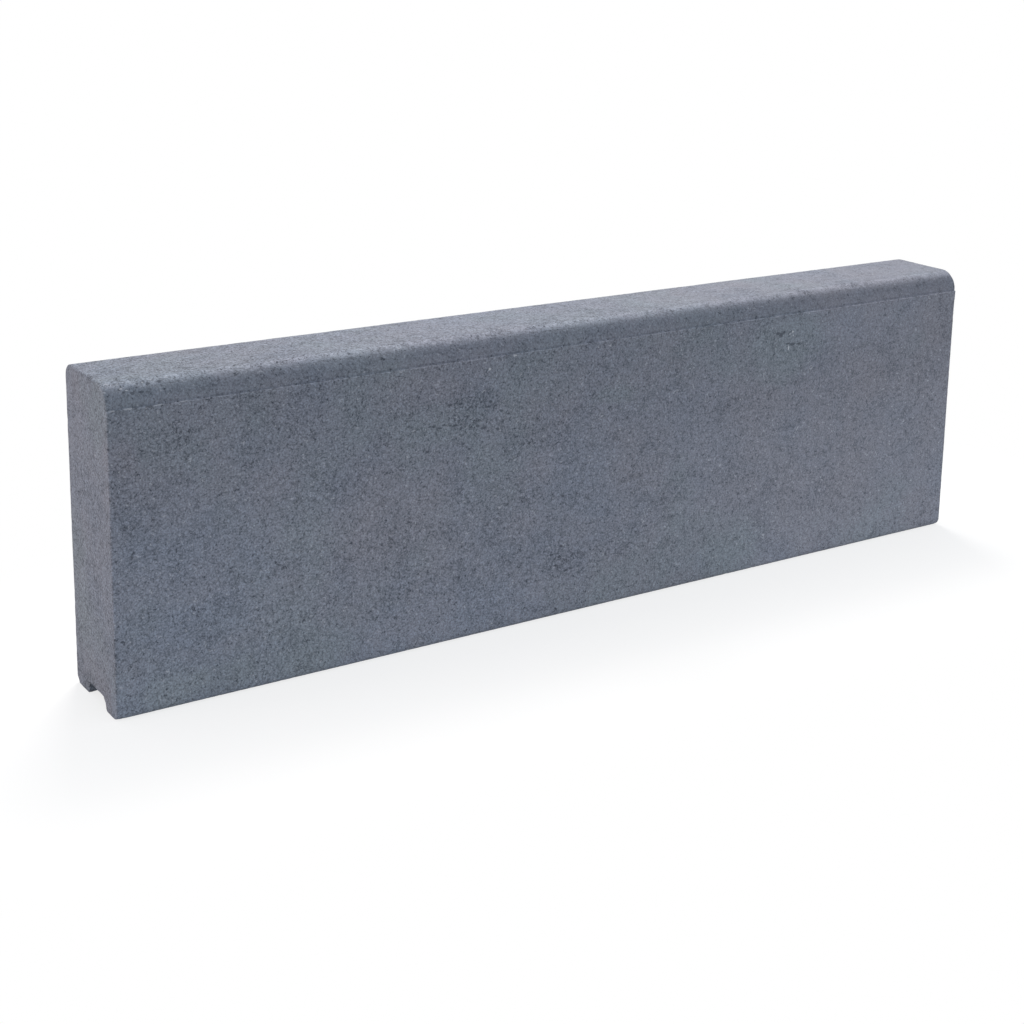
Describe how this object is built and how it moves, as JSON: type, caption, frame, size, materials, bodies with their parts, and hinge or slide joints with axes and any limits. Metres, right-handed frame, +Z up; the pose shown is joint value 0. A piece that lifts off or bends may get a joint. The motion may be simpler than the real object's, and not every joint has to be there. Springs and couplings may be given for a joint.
{
  "type": "concrete kerb stone",
  "caption": "Upright precast concrete kerb: round front top edge above a thin press ledge, smaller rear edge, mortar groove along the bed.",
  "frame": {"origin": "middle of the underside, level with the two bed strips the kerb stands on", "axes": "+X along the kerb, +Y from its exposed front face to its rear face, +Z up"},
  "size_m": [1, 0.1, 0.3],
  "materials": {
    "concrete": "matt dry-cast concrete, dark bluish grey, fine sandy grain with small open pores"
  },
  "bodies": {
    "root": {"kerb_stone": "concrete"}
  },
  "joints": []
}
